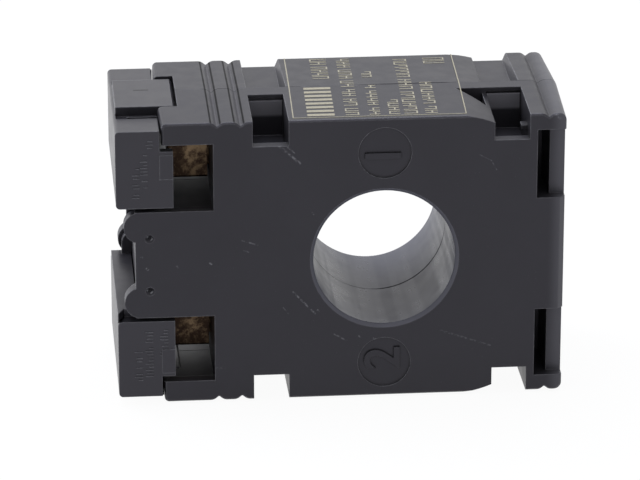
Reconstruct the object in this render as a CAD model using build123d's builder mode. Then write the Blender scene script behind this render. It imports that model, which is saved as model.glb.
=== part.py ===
"""Window current transformer in a moulded two-part case, with two hinged terminal covers.

All sizes are in millimetres. The origin is the centre of the cable bore, on the parting plane
of the case. +X points to the foot end, -X to the terminals, -Y to the front face, and +Z to the
long narrow side that carries the printed data. The case is a mirror image above and below Z = 0.
"""

import os
from math import cos, radians, sin, tan

from build123d import *

# Case
case_depth = 28.2
case_wall = 1.8
foot_wall = 1.5
chamber_corner_r = 1.5
draft_angle = 1.5
edge_break = 0.25
lug_corner_r = 0.7
foot_corner_r = 1.1

# Cable bore, and the tube round it
bore_d = 21.0
bore_chamfer = 0.5
bore_wall = 1.5

# Room in the chamber round the wound core: above it, at the leads and at the foot
winding_clearance = 0.35
lead_room = 4.0
foot_room = 1.2

# Terminal compartments, and their distances from the outside of the case
compartment_length = 7.48
compartment_wall = 1.44
compartment_step = 0.3
ceiling_wall = 2.25
window_wall = 3.27
face_plate = 2.0

# Grip grooves that run front to back along both narrow sides, from the lug or the foot
grip_groove_setbacks = (8.07, 11.52)
grip_groove_width = 2.5
grip_groove_depth = 0.57
foot_groove_setback = 2.55
foot_groove_width = 2.2
foot_groove_depth = 0.5

# Pockets for clip-on feet: one near the terminals, one near the foot
terminal_pocket_setback = 13.27
terminal_pocket_width = 5.25
terminal_bridge = 2.95
foot_pocket_setback = 1.15
foot_pocket_width = 5.15
foot_bridge = 2.55
pocket_depth = 3.85
pocket_surround = 1.2
pocket_lip = 1.7
pocket_well_depth = 2.3
bridge_undercut = 0.7
undercut_top = 0.25
undercut_height = 0.45
rear_recess_depth = 1.25
rear_recess_flare = 0.7
slope_length = 4.25
slope_drop = 1.15
slope_middle_share = 0.36
rear_slope_drop = 0.75
relief_length = 4.0
relief_depth = 5.0
relief_wall = 0.6
relief_sink = 3.0
pocket_nub = (0.9, 1.6, 0.7)
pocket_nub_place = (1.4, 0.4)

# Rail slots at the foot end
slot_width = 2.0
slot_inner = 8.8
slot_wall = 2.45
slot_sink = 10.0
rail_thick = 2.2
rail_step = 1.8
foot_bevel = 0.8

# Sunk discs for the primary marks
mark_setback = 5.35
mark_r = 3.9
mark_sink = 0.3

# Hinge end of the case, with distances beyond the end of the lug
hinge_reach = 3.28
hinge_offset = 5.9
ear_r = 2.4
ear_edge_reach = 4.03
web_reach = 3.58
web_wall = 1.5
arm_slot = 2.0
arm_slot_reach = 0.78
dimple_reach = 1.94
dimple_inset = 1.78
dimple_r = 0.68
dimple_sink = 0.6
dimple_tip_r = 0.08
trunnion_r = 1.0
trunnion_length = 1.2
trunnion_gap = 0.05

# Notch in the lug that takes the cover's tongue
tongue_half_width = 6.0
tongue_side_gap = 0.8
tongue_notch_length = 2.72
tongue_tip_gap = 0.15

# Terminal covers, with their distances from the lug, the ears and the narrow side
cover_length = 6.75
cover_wall = 1.4
cover_lap = 1.65
cover_step_gap = 0.3
cover_ear_gap = 0.6
cover_sill_drop = 0.7
cover_sill_reach = 3.78
cover_floor_wall = 0.7
tongue_inset = 0.4
cover_drop = 1.01
cover_step_drop = 3.18
cover_corner_r = 0.6
ear_clearance = 0.1
cover_slot_side = 0.35
cover_slot_width = 1.5
cover_slot_inset = 2.0
cover_slot_rim = 0.5
cover_groove_width = 2.4
cover_groove_depth = 0.5
cover_pad = (2.0, 3.8, 0.15)
cover_pad_inset = 0.5
arm_r = 1.9
arm_thick = 1.4
arm_gap = 0.2
arm_root = 1.5
tongue_bevel = 0.5

# Terminals
block_setback = 1.18
block_width = 8.8
block_height = 6.9
block_gap = 0.3
block_edge = 0.3
tail_width = 5.6
tail_height = 4.0
tail_length = 4.4
tail_gap = 0.1
collar_width = 7.2
collar_height = 5.2
collar_thick = 0.7
lead_hole_setback = 1.16
thread_d = 4.0
thread_gap = 0.05
tapped_end_wall = 0.6
screw_tip_gap = 0.6
head_d = 7.0
head_height = 2.4
head_edge = 0.3
slot_cut_width = 1.2
slot_cut_depth = 1.2
plate_size = 7.0
plate_corner_r = 0.5
plate_thick = 1.0
plate_gap = 0.15
spring_ring_width = 1.3
spring_ring_thick = 0.9
spring_ring_split = 0.6

# Wound core
core_width = 4.5
wire_d = 0.8
turn_count = 6
turn_angle = 54.0
wire_bend_r = 0.9
winding_gap = 0.1
core_gap = 0.1
cap_wall = 0.6
core_edge = 0.3
cap_edge = 0.35
lead_insert = 1.5
sleeve_wall = 0.35
sleeve_gap = 0.05
sleeve_end_gap = 0.4
packing_thick = 0.75
packing_gap = 0.05
packing_inset = 2.6

# Locating pegs between the two shells, with the distances of the four from the chamber's ends
peg_r = 1.0
peg_length = 2.5
peg_boss_r = 2.0
peg_gap = 0.1
terminal_peg_inset = 1.9
terminal_peg_drop = 2.15
foot_peg_inset = 1.5
foot_peg_offset = 11.5

# How far cuts run past a face, and the overlap of solids that are joined
past = 5.0
lap = 0.1

# Wound core: radii outwards from the bore tube, depths inwards from the case wall
half_depth = case_depth / 2
cavity_depth = half_depth - case_wall
bore_r = bore_d / 2
tube_r = bore_r + bore_wall
inner_leg_r = tube_r + winding_gap + wire_d / 2
cap_inner_r = inner_leg_r + wire_d / 2 + core_gap / 2
core_inner_r = cap_inner_r + cap_wall + core_gap
core_outer_r = core_inner_r + core_width
cap_outer_r = core_outer_r + core_gap + cap_wall
outer_leg_r = cap_outer_r + core_gap / 2 + wire_d / 2
winding_r = outer_leg_r + wire_d / 2
packing_inner_y = cavity_depth - packing_gap - packing_thick
wire_plane = packing_inner_y - packing_gap - wire_d / 2
cap_half_height = wire_plane - wire_d / 2 - core_gap / 2
core_half_height = cap_half_height - cap_wall - core_gap

# Case and chamber, built round the wound core
cavity_height = winding_r + winding_clearance
half_height = cavity_height + case_wall
crown = half_depth * tan(radians(draft_angle))
cavity_left = -winding_r - lead_room
cavity_right = winding_r + foot_room
compartment_wall_x = cavity_left - compartment_wall
lug_reach = compartment_length - compartment_wall_x
slot_start = cavity_right + foot_wall
foot_reach = slot_start + slot_width + rail_thick
slot_outer = half_height - slot_wall

# Both ends of the case
window_inner = hinge_offset + ear_r
window_outer = half_height - window_wall
compartment_floor = window_inner - compartment_step
compartment_ceiling = half_height - ceiling_wall
terminal_offset = (window_inner + window_outer) / 2
hinge_x = -lug_reach - hinge_reach
ear_edge_x = -lug_reach - ear_edge_reach
web_end_x = -lug_reach - web_reach
arm_slot_end_x = -lug_reach - arm_slot_reach
dimple_x = -lug_reach - dimple_reach
dimple_offset = hinge_offset - dimple_inset
tongue_notch_end_x = -lug_reach + tongue_notch_length
ear_back = half_depth - face_plate
web_half_depth = ear_back - arm_slot
mark_offset = half_height - mark_setback
grip_groove_places = [setback - lug_reach for setback in grip_groove_setbacks]
foot_groove_place = foot_reach - foot_groove_setback
terminal_pocket_start = terminal_pocket_setback - lug_reach
terminal_pocket_end = terminal_pocket_start + terminal_pocket_width
foot_pocket_end = slot_start - foot_pocket_setback
foot_pocket_start = foot_pocket_end - foot_pocket_width
pocket_floor = half_height - pocket_depth
pocket_roof = half_height - case_wall + lap
slope_start = foot_pocket_start - slope_length

# Covers
cover_reach = lug_reach + cover_length
cover_edge_x = -lug_reach + cover_lap
cover_step_x = -lug_reach - cover_step_gap
cover_inner = window_inner + cover_ear_gap
cover_sill = window_inner - cover_sill_drop
cover_sill_end_x = -lug_reach - cover_sill_reach
cover_outer = half_height - cover_drop
cover_step_z = cover_outer - cover_step_drop
cover_slot_start = tongue_half_width + cover_slot_side
arm_top = cover_inner + arm_root

# Terminal stack, from the compartment wall out to the screw head
block_face_x = -lug_reach + block_setback
block_end_x = compartment_wall_x - block_gap
tail_end_x = compartment_wall_x + tail_length
lead_hole_x = tail_end_x - lead_hole_setback
plate_face_x = block_face_x - plate_thick
ring_face_x = plate_face_x - spring_ring_thick
head_face_x = ring_face_x - head_height

peg_places = [
    (cavity_left + terminal_peg_inset, cavity_height - terminal_peg_drop),
    (cavity_left + terminal_peg_inset, -cavity_height + terminal_peg_drop),
    (cavity_right - foot_peg_inset, foot_peg_offset),
    (cavity_right - foot_peg_inset, -foot_peg_offset),
]


def mirrored_pair():
    """The two signs of Z: the case is the same above and below its middle."""
    return (1, -1)


def span(low, high):
    """Middle and length of a stretch, for a box or rectangle given by its two ends."""
    return (low + high) / 2, high - low


def box_between(x, y, z, mode=Mode.ADD):
    """Box from its two ends along each axis."""
    (cx, lx), (cy, ly), (cz, lz) = span(*x), span(*y), span(*z)
    with Locations((cx, cy, cz)):
        Box(lx, ly, lz, mode=mode)


def ends(sign, inner, outer):
    """Ends of a stretch along Z on the side that sign names, low end first."""
    return tuple(sorted((sign * inner, sign * outer)))


def stand_out(depth):
    """How far the drafted sides stand out at a distance from the parting plane."""
    return crown * (1 - depth / half_depth)


def narrow_side(sign, grow):
    """One narrow side of the case as a line with its grooves, from the lug to the foot."""
    top = sign * (half_height + grow)
    start = -lug_reach - grow + lug_corner_r
    grooves = [(place, grip_groove_width, grip_groove_depth) for place in grip_groove_places]
    grooves.append((foot_groove_place, foot_groove_width, foot_groove_depth))
    for place, width, depth in grooves:
        left = place - width / 2
        right = place + width / 2
        Line((start, top), (left, top))
        bottom = (place, top - sign * depth)
        Spline((left, top), bottom, (right, top), tangents=[(1, 0), (1, 0)])
        start = right
    Line((start, top), (foot_reach + grow - foot_corner_r, top))


def case_outline(grow):
    """Face with the case's outline, seen from the front, with its sides moved out by grow."""
    left = -lug_reach - grow
    right = foot_reach + grow
    top = half_height + grow
    with BuildLine() as edge:
        for sign in mirrored_pair():
            narrow_side(sign, grow)
            lug_centre = (left + lug_corner_r, sign * (top - lug_corner_r))
            foot_centre = (right - foot_corner_r, sign * (top - foot_corner_r))
            CenterArc(lug_centre, lug_corner_r, 90 if sign > 0 else 180, 90)
            CenterArc(foot_centre, foot_corner_r, 0 if sign > 0 else 270, 90)
        Line((left, -top + lug_corner_r), (left, top - lug_corner_r))
        Line((right, -top + foot_corner_r), (right, top - foot_corner_r))
    make_face(edge.edges())


def slope_profile(sign, grow, drop):
    """Region above the sloping end of the printed side, cut away down to its curve."""
    top = half_height + grow
    low = top - drop
    middle = (slope_start + foot_pocket_start) / 2
    with BuildLine() as edge:
        ThreePointArc(
            (slope_start, sign * top),
            (middle, sign * (top - slope_middle_share * drop)),
            (foot_pocket_start, sign * low),
        )
        Polyline(
            (foot_pocket_start, sign * low),
            (foot_pocket_start, sign * (top + past)),
            (slope_start, sign * (top + past)),
            (slope_start, sign * top),
        )
    make_face(edge.edges())


def cut_slope(sign, side, start_depth, drop):
    """Cut the sloping end, following the draft, from near the parting plane out to a face."""
    end_depth = half_depth + past
    with BuildSketch(Plane.XZ.offset(side * start_depth)) as near:
        slope_profile(sign, stand_out(start_depth), drop)
    with BuildSketch(Plane.XZ.offset(side * end_depth)) as far:
        slope_profile(sign, stand_out(end_depth), drop)
    loft([near.sketch, far.sketch], ruled=True, mode=Mode.SUBTRACT)


def cut_winding_room(side):
    """Keep the ring round the bore tube free for the wound core, whatever stands beside it."""
    with BuildSketch(Plane.XZ) as room:
        Circle(winding_r + winding_clearance / 2)
        Circle(tube_r, mode=Mode.SUBTRACT)
    extrude(room.sketch, amount=side * cavity_depth, mode=Mode.SUBTRACT)


# Half case: all that the front and rear shells share, built on the front side
with BuildPart() as half_case:
    with BuildSketch(Plane.XZ):
        case_outline(crown)
    with BuildSketch(Plane.XZ.offset(half_depth - edge_break)):
        case_outline(0)
    with BuildSketch(Plane.XZ.offset(half_depth)):
        case_outline(-edge_break)
    loft(ruled=True)

    # Terminal compartments, open towards the covers and to the front
    for sign in mirrored_pair():
        box_between(
            (-lug_reach - past, compartment_wall_x),
            (-ear_back, past),
            ends(sign, compartment_floor, compartment_ceiling),
            mode=Mode.SUBTRACT,
        )
        box_between(
            (-lug_reach - past, compartment_wall_x),
            (-half_depth - past, -ear_back + past),
            ends(sign, window_inner, window_outer),
            mode=Mode.SUBTRACT,
        )

    # Ear plate that carries the hinge pins of both covers
    with BuildSketch(Plane.XZ.offset(ear_back)):
        with Locations((span(ear_edge_x, compartment_wall_x)[0], 0)):
            Rectangle(compartment_wall_x - ear_edge_x, 2 * window_inner)
        with Locations((hinge_x, hinge_offset), (hinge_x, -hinge_offset)):
            Circle(ear_r)
    extrude(amount=face_plate)
    with BuildSketch(Plane.XZ):
        with Locations((span(web_end_x, compartment_wall_x)[0], 0)):
            Rectangle(compartment_wall_x - web_end_x, 2 * compartment_floor)
    extrude(amount=web_half_depth)
    with BuildSketch(Plane.XZ):
        with Locations((span(arm_slot_end_x, compartment_wall_x)[0], 0)):
            Rectangle(compartment_wall_x - arm_slot_end_x, 2 * compartment_floor)
    extrude(amount=ear_back + lap)

    # Inside: the chamber for the wound core, and the hollow behind the hinge
    with BuildSketch(Plane.XZ) as chamber:
        with Locations((span(cavity_left, cavity_right)[0], 0)):
            RectangleRounded(cavity_right - cavity_left, 2 * cavity_height, chamber_corner_r)
        Circle(tube_r, mode=Mode.SUBTRACT)
        with Locations(*peg_places):
            Circle(peg_boss_r, mode=Mode.SUBTRACT)
    extrude(amount=cavity_depth, mode=Mode.SUBTRACT)
    with BuildSketch(Plane.XZ):
        hollow = span(web_end_x + web_wall, compartment_wall_x - web_wall)
        with Locations((hollow[0], 0)):
            Rectangle(hollow[1], 2 * (compartment_floor - web_wall))
    extrude(amount=web_half_depth - web_wall, mode=Mode.SUBTRACT)

    # Cable bore with its chamfered rim
    with BuildSketch(Plane.XZ):
        Circle(bore_r)
    extrude(amount=half_depth, mode=Mode.SUBTRACT)
    with BuildSketch(Plane.XZ.offset(half_depth - bore_chamfer)):
        Circle(bore_r)
    with BuildSketch(Plane.XZ.offset(half_depth)):
        Circle(bore_r + bore_chamfer)
    loft(mode=Mode.SUBTRACT)

    for sign in mirrored_pair():
        # Seat of the terminal block's neck in the compartment wall
        box_between(
            (compartment_wall_x - lap, cavity_left + lap),
            (-tail_width / 2 - tail_gap, past),
            ends(
                sign,
                terminal_offset - tail_height / 2 - tail_gap,
                terminal_offset + tail_height / 2 + tail_gap,
            ),
            mode=Mode.SUBTRACT,
        )
        # Notch for the tongue of the cover
        box_between(
            (-lug_reach - past, tongue_notch_end_x),
            (-tongue_half_width - tongue_side_gap, past),
            ends(sign, window_outer - past, half_height + past),
            mode=Mode.SUBTRACT,
        )
        # Rail slot and the stepped rail beside it
        box_between(
            (slot_start, slot_start + slot_width),
            (-half_depth - past, -half_depth + slot_sink),
            ends(sign, slot_inner, slot_outer),
            mode=Mode.SUBTRACT,
        )
        box_between(
            (slot_start + slot_width - lap, foot_reach + past),
            (-half_depth - past, -half_depth + rail_step),
            ends(sign, slot_inner, slot_outer),
            mode=Mode.SUBTRACT,
        )
        # Socket of the hinge pin, and the moulding dimple beside it
        with BuildSketch(Plane.XZ.offset(ear_back)):
            with Locations((hinge_x, sign * hinge_offset)):
                Circle(trunnion_r + trunnion_gap)
        extrude(amount=trunnion_length + trunnion_gap, mode=Mode.SUBTRACT)
        with BuildSketch(Plane.XZ.offset(half_depth - dimple_sink)):
            with Locations((dimple_x, sign * dimple_offset)):
                Circle(dimple_tip_r)
        with BuildSketch(Plane.XZ.offset(half_depth)):
            with Locations((dimple_x, sign * dimple_offset)):
                Circle(dimple_r)
        loft(mode=Mode.SUBTRACT)

    # Bevel along the middle of the foot end
    with BuildSketch(Plane.XY):
        with BuildLine():
            Polyline(
                (foot_reach - foot_bevel, -half_depth - past),
                (foot_reach - foot_bevel, -half_depth),
                (foot_reach + lap, -half_depth + foot_bevel),
                (foot_reach + past, -half_depth + foot_bevel),
                (foot_reach + past, -half_depth - past),
                close=True,
            )
        make_face()
    extrude(amount=slot_inner, both=True, mode=Mode.SUBTRACT)


# Front shell: deep pockets for the clip-on feet, sunk discs for the marks, holes for the pegs
with BuildPart() as front_shell:
    add(half_case.part)
    pockets = (
        (terminal_pocket_start, terminal_pocket_end, terminal_bridge),
        (foot_pocket_start, foot_pocket_end, foot_bridge),
    )
    for sign in mirrored_pair():
        well_floor = pocket_floor - pocket_well_depth
        for start, end, bridge in pockets:
            # Walls round the pocket, then the pocket, the well behind its lip, and the undercut
            box_between(
                (start - pocket_surround, end + pocket_surround),
                (-half_depth + edge_break, 0),
                ends(sign, well_floor - pocket_surround, pocket_roof),
            )
            box_between(
                (start, end),
                (-half_depth - past, -bridge),
                ends(sign, pocket_floor, half_height + past),
                mode=Mode.SUBTRACT,
            )
            box_between(
                (start, end),
                (-half_depth + pocket_lip, -bridge),
                ends(sign, well_floor, pocket_floor + lap),
                mode=Mode.SUBTRACT,
            )
            box_between(
                (start, end),
                (-bridge - lap, -bridge + bridge_undercut),
                ends(
                    sign,
                    half_height - undercut_top - undercut_height,
                    half_height - undercut_top,
                ),
                mode=Mode.SUBTRACT,
            )
        # Floor under the relief beside the bridge
        relief_start = foot_pocket_start - relief_wall - relief_length
        box_between(
            (relief_start - pocket_surround, foot_pocket_start),
            (-foot_bridge - relief_depth - pocket_surround, 0),
            ends(sign, half_height - relief_sink - pocket_surround, pocket_roof),
        )
        cut_slope(sign, 1, foot_bridge, slope_drop)
        # Three-cornered relief beside the bridge
        with BuildSketch(Plane.XY.offset(sign * (half_height + past))):
            with BuildLine():
                Polyline(
                    (relief_start, -foot_bridge),
                    (foot_pocket_start - relief_wall, -foot_bridge),
                    (foot_pocket_start - relief_wall, -foot_bridge - relief_depth),
                    close=True,
                )
            make_face()
        extrude(amount=-sign * (relief_sink + past), mode=Mode.SUBTRACT)
        # Small catch on the far wall of the foot pocket
        nub_x, nub_y, nub_z = pocket_nub
        nub_setback, nub_raise = pocket_nub_place
        nub_start = -half_depth + pocket_lip + nub_setback
        nub_bottom = pocket_floor + nub_raise
        box_between(
            (foot_pocket_end - nub_x, foot_pocket_end + lap),
            (nub_start, nub_start + nub_y),
            ends(sign, nub_bottom, nub_bottom + nub_z),
        )
    cut_winding_room(1)
    with BuildSketch(Plane.XZ.offset(half_depth)):
        with Locations((0, mark_offset), (0, -mark_offset)):
            Circle(mark_r)
    extrude(amount=-mark_sink, mode=Mode.SUBTRACT)
    with BuildSketch(Plane.XZ):
        with Locations(*peg_places):
            Circle(peg_r + peg_gap)
    extrude(amount=peg_length + peg_gap, mode=Mode.SUBTRACT)
front_shell.part.label = "front_shell"


# Rear shell: shallow recesses behind the bridges, with sloping ends, and the pegs
with BuildPart() as rear_shell:
    mirror(half_case.part, about=Plane.XZ)
    recess_floor = half_height - rear_recess_depth
    recess_top = half_height + crown + lap
    recesses = (
        (terminal_pocket_start, terminal_pocket_end, 0),
        (foot_pocket_start, foot_pocket_end - rear_recess_flare, rear_recess_flare),
    )
    for sign in mirrored_pair():
        for start, end, start_flare in recesses:
            box_between(
                (start - pocket_surround, end + pocket_surround),
                (0, half_depth - edge_break),
                ends(sign, recess_floor - case_wall, pocket_roof),
            )
            with BuildSketch(Plane.XZ):
                with BuildLine():
                    Polyline(
                        (start, sign * recess_floor),
                        (end, sign * recess_floor),
                        (end + rear_recess_flare, sign * recess_top),
                        (start - start_flare, sign * recess_top),
                        close=True,
                    )
                make_face()
            extrude(amount=-half_depth, mode=Mode.SUBTRACT)
        cut_slope(sign, -1, 0, rear_slope_drop)
    cut_winding_room(-1)
    with BuildSketch(Plane.XZ):
        with Locations(*peg_places):
            Circle(peg_r)
    extrude(amount=peg_length)
rear_shell.part.label = "rear_shell"


def cover_side():
    """Side plate of the upper cover, seen from the front."""
    with BuildLine() as edge:
        Polyline(
            (-cover_reach, cover_inner),
            (cover_edge_x, cover_inner),
            (cover_edge_x, cover_step_z),
            (cover_step_x, cover_step_z),
            (cover_step_x, cover_outer),
            (-cover_reach, cover_outer),
            close=True,
        )
    make_face(edge.edges())


# Terminal cover: a cap open towards the case, with a snap tongue and two hinge arms
with BuildPart() as cover:
    with BuildSketch(Plane.XZ) as side_plate:
        cover_side()
        outer_corners = side_plate.vertices().group_by(Axis.X)[0]
        fillet(outer_corners, cover_corner_r)
    extrude(amount=half_depth, both=True)
    box_between(
        (-cover_reach + cover_wall, cover_edge_x + past),
        (-half_depth + cover_wall, half_depth - cover_wall),
        (cover_inner - past, cover_outer - cover_wall),
        mode=Mode.SUBTRACT,
    )

    # Floor of the cap beyond the ears
    box_between(
        (-cover_reach + cover_corner_r, cover_sill_end_x),
        (-half_depth + lap, half_depth - lap),
        (cover_inner, cover_inner + cover_floor_wall),
    )

    # Snap tongue, flush with the narrow side, and the step and slots beside it
    tongue_end_x = tongue_notch_end_x - tongue_tip_gap
    box_between(
        (-cover_reach + tongue_inset, tongue_end_x),
        (-tongue_half_width, tongue_half_width),
        (compartment_ceiling + lap, half_height),
    )
    with BuildSketch(Plane.XZ):
        with BuildLine():
            Polyline(
                (tongue_end_x - tongue_bevel, half_height),
                (tongue_end_x, half_height),
                (tongue_end_x, half_height - tongue_bevel),
                close=True,
            )
        make_face()
    extrude(amount=tongue_half_width, both=True, mode=Mode.SUBTRACT)
    for side in (1, -1):
        groove = sorted((side * tongue_half_width, side * (tongue_half_width + cover_groove_width)))
        box_between(
            (-cover_reach + tongue_inset, cover_edge_x),
            groove,
            (cover_outer - cover_groove_depth, cover_outer + past),
            mode=Mode.SUBTRACT,
        )
        slot = sorted((side * cover_slot_start, side * (cover_slot_start + cover_slot_width)))
        box_between(
            (-cover_reach + cover_slot_inset, cover_edge_x),
            slot,
            (cover_outer - cover_wall - cover_slot_rim, cover_outer + past),
            mode=Mode.SUBTRACT,
        )

    # Raised pad near the opening edge of each side plate
    pad_width_x, pad_height_z, pad_proud = cover_pad
    pad_top = cover_step_z - cover_pad_inset
    for side in (1, -1):
        face_y = side * half_depth
        proud_y = side * (half_depth + pad_proud)
        box_between(
            (cover_edge_x - pad_width_x, cover_edge_x),
            tuple(sorted((face_y, proud_y))),
            (pad_top - pad_height_z, pad_top),
        )

    # Hinge arms just inside the ears, each with its pin
    arm_outer = ear_back - arm_gap
    arm_inner = arm_outer - arm_thick
    for side in (1, -1):
        with BuildSketch(Plane.XZ.offset(side * arm_inner)):
            with Locations((hinge_x, hinge_offset)):
                Circle(arm_r)
            with Locations((hinge_x, span(hinge_offset, arm_top)[0])):
                Rectangle(2 * arm_r, arm_top - hinge_offset)
        extrude(amount=side * arm_thick)
        web = tuple(sorted((side * arm_outer, side * (half_depth - cover_wall))))
        box_between((hinge_x - arm_r, hinge_x + arm_r), web, (cover_inner + lap, arm_top))
        with BuildSketch(Plane.XZ.offset(side * arm_outer)):
            with Locations((hinge_x, hinge_offset)):
                Circle(trunnion_r)
        extrude(amount=side * (arm_gap + trunnion_length - trunnion_gap))

# The upper cover ends above the ears
with BuildPart() as upper_cover:
    add(cover.part)
upper_cover.part.label = "upper_terminal_cover"

# The lower cover has a sill as well, which is cut back at an angle to clear the front ear
with BuildPart() as lower_cover:
    mirror(cover.part, about=Plane.XY)
    sill_depth = ear_back - lap
    sill_corner_x = hinge_x - ear_r - ear_clearance
    with BuildSketch(Plane.XY.offset(-cover_sill)):
        with BuildLine():
            Polyline(
                (-cover_reach, -half_depth),
                (sill_corner_x, -sill_depth),
                (cover_sill_end_x, -sill_depth),
                (cover_sill_end_x, sill_depth),
                (-cover_reach, sill_depth),
                close=True,
            )
        make_face()
    extrude(amount=cover_sill - cover_inner - lap)
lower_cover.part.label = "lower_terminal_cover"


def terminal_block(height):
    """Brass block with a tapped hole, and a necked tail that the two shells trap."""
    with BuildPart() as block:
        with BuildSketch(Plane.YZ.offset(block_face_x)):
            with Locations((0, height)):
                Rectangle(block_width, block_height)
        extrude(amount=block_end_x - block_face_x)
        chamfer(block.edges().filter_by(Axis.X), block_edge)
        chamfer(block.faces().sort_by(Axis.X)[0].edges(), block_edge)
        with BuildSketch(Plane.YZ.offset(block_end_x)):
            with Locations((0, height)):
                Rectangle(tail_width, tail_height)
        extrude(amount=tail_end_x - block_end_x)
        with BuildSketch(Plane.YZ.offset(cavity_left + tail_gap)):
            with Locations((0, height)):
                Rectangle(collar_width, collar_height)
        extrude(amount=collar_thick)
        chamfer(block.faces().sort_by(Axis.X)[-1].edges(), block_edge)
        with BuildSketch(Plane.YZ.offset(block_face_x)):
            with Locations((0, height)):
                Circle(thread_d / 2 + thread_gap)
        extrude(amount=block_end_x - tapped_end_wall - block_face_x, mode=Mode.SUBTRACT)
        with BuildSketch(Plane.XZ):
            with Locations((lead_hole_x, height)):
                Circle(wire_d / 2 + winding_gap)
        extrude(amount=block_width, both=True, mode=Mode.SUBTRACT)
    return block.part


def clamp_plate(height):
    """Square washer that presses the wire against the block."""
    with BuildPart() as plate:
        with BuildSketch(Plane.YZ.offset(plate_face_x)):
            with Locations((0, height)):
                RectangleRounded(plate_size, plate_size, plate_corner_r)
                Circle(thread_d / 2 + plate_gap, mode=Mode.SUBTRACT)
        extrude(amount=plate_thick)
    return plate.part


def spring_ring(height):
    """Split spring washer under the screw head."""
    hole_r = thread_d / 2 + plate_gap
    outer_r = hole_r + spring_ring_width
    with BuildPart() as ring:
        with BuildSketch(Plane.YZ.offset(ring_face_x)):
            with Locations((0, height)):
                Circle(outer_r)
                Circle(hole_r, mode=Mode.SUBTRACT)
            with Locations((0, height + outer_r)):
                Rectangle(spring_ring_split, outer_r, mode=Mode.SUBTRACT)
        extrude(amount=spring_ring_thick)
    return ring.part


def terminal_screw(height):
    """Slotted cheese-head screw along X."""
    with BuildPart() as screw:
        with BuildSketch(Plane.YZ.offset(head_face_x)):
            with Locations((0, height)):
                Circle(head_d / 2)
        extrude(amount=head_height)
        chamfer(screw.edges().sort_by(Axis.X)[0], head_edge)
        with BuildSketch(Plane.YZ.offset(ring_face_x)):
            with Locations((0, height)):
                Circle(thread_d / 2)
        extrude(amount=block_end_x - tapped_end_wall - screw_tip_gap - ring_face_x)
        chamfer(screw.edges().sort_by(Axis.X)[-1], head_edge)
        box_between(
            (head_face_x - past, head_face_x + slot_cut_depth),
            (-slot_cut_width / 2, slot_cut_width / 2),
            (height - head_d, height + head_d),
            mode=Mode.SUBTRACT,
        )
    return screw.part


def core_cap(side):
    """Insulating cap with a channel section, pushed over one half of the core."""
    with BuildPart() as cap:
        with BuildSketch(Plane.XZ):
            Circle(cap_outer_r)
            Circle(cap_inner_r, mode=Mode.SUBTRACT)
        extrude(amount=side * cap_half_height)
        outer_face = cap.faces().sort_by(Axis.Y)[-1 if side < 0 else 0]
        fillet(outer_face.edges(), cap_edge)
        with BuildSketch(Plane.XZ):
            Circle(core_outer_r + core_gap)
            Circle(core_inner_r - core_gap, mode=Mode.SUBTRACT)
        extrude(amount=side * (core_half_height + core_gap), mode=Mode.SUBTRACT)
    return cap.part


with BuildPart() as toroidal_core:
    with BuildSketch(Plane.XZ.offset(-core_half_height)):
        Circle(core_outer_r)
        Circle(core_inner_r, mode=Mode.SUBTRACT)
    extrude(amount=2 * core_half_height)
    chamfer(toroidal_core.edges().filter_by(GeomType.CIRCLE), core_edge)
toroidal_core.part.label = "toroidal_core"


def on_ring(radius, angle, y):
    """Point on a circle round the bore axis."""
    return (radius * cos(radians(angle)), y, radius * sin(radians(angle)))


def winding_route():
    """Corners of the secondary wire, from the upper terminal's tail to the lower one's."""
    first_angle = turn_angle * (turn_count - 1) / 2
    lead_end = -tail_width / 2 + lead_insert
    route = [(lead_hole_x, lead_end, terminal_offset), (lead_hole_x, -wire_plane, terminal_offset)]
    for turn in range(turn_count):
        angle = first_angle - turn * turn_angle
        route.append(on_ring(inner_leg_r, angle, -wire_plane))
        route.append(on_ring(inner_leg_r, angle, wire_plane))
        route.append(on_ring(outer_leg_r, angle, wire_plane))
        route.append(on_ring(outer_leg_r, angle, -wire_plane))
    route.append((lead_hole_x, -wire_plane, -terminal_offset))
    route.append((lead_hole_x, lead_end, -terminal_offset))
    return route


with BuildPart() as secondary_winding:
    with BuildLine() as wire_path:
        FilletPolyline(*winding_route(), radius=wire_bend_r)
    with BuildSketch(Plane(origin=wire_path.line @ 0, z_dir=wire_path.line % 0)):
        Circle(wire_d / 2)
    sweep(path=wire_path.line)
secondary_winding.part.label = "secondary_winding"


def lead_sleeve(height):
    """Insulating sleeve on the straight end of a lead."""
    inner = wire_d / 2 + sleeve_gap
    sleeve_end = tail_width / 2 + sleeve_end_gap
    with BuildPart() as sleeve:
        with BuildSketch(Plane.XZ.offset(sleeve_end)):
            with Locations((lead_hole_x, height)):
                Circle(inner + sleeve_wall)
                Circle(inner, mode=Mode.SUBTRACT)
        extrude(amount=wire_plane - wire_bend_r - sleeve_end_gap - sleeve_end)
    return sleeve.part


def packing_ring(side):
    """Soft ring between the winding and the case, which keeps the core from rattling."""
    with BuildPart() as ring:
        with BuildSketch(Plane.XZ.offset(side * packing_inner_y)):
            Circle(winding_r - packing_inset)
            Circle(tube_r + winding_gap, mode=Mode.SUBTRACT)
        extrude(amount=side * packing_thick)
    return ring.part


os.makedirs("parts", exist_ok=True)
export_step(front_shell.part, "parts/front_shell.step")
export_step(rear_shell.part, "parts/rear_shell.step")
export_step(upper_cover.part, "parts/upper_terminal_cover.step")
export_step(lower_cover.part, "parts/lower_terminal_cover.step")
export_step(toroidal_core.part, "parts/toroidal_core.step")
export_step(secondary_winding.part, "parts/secondary_winding.step")

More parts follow.
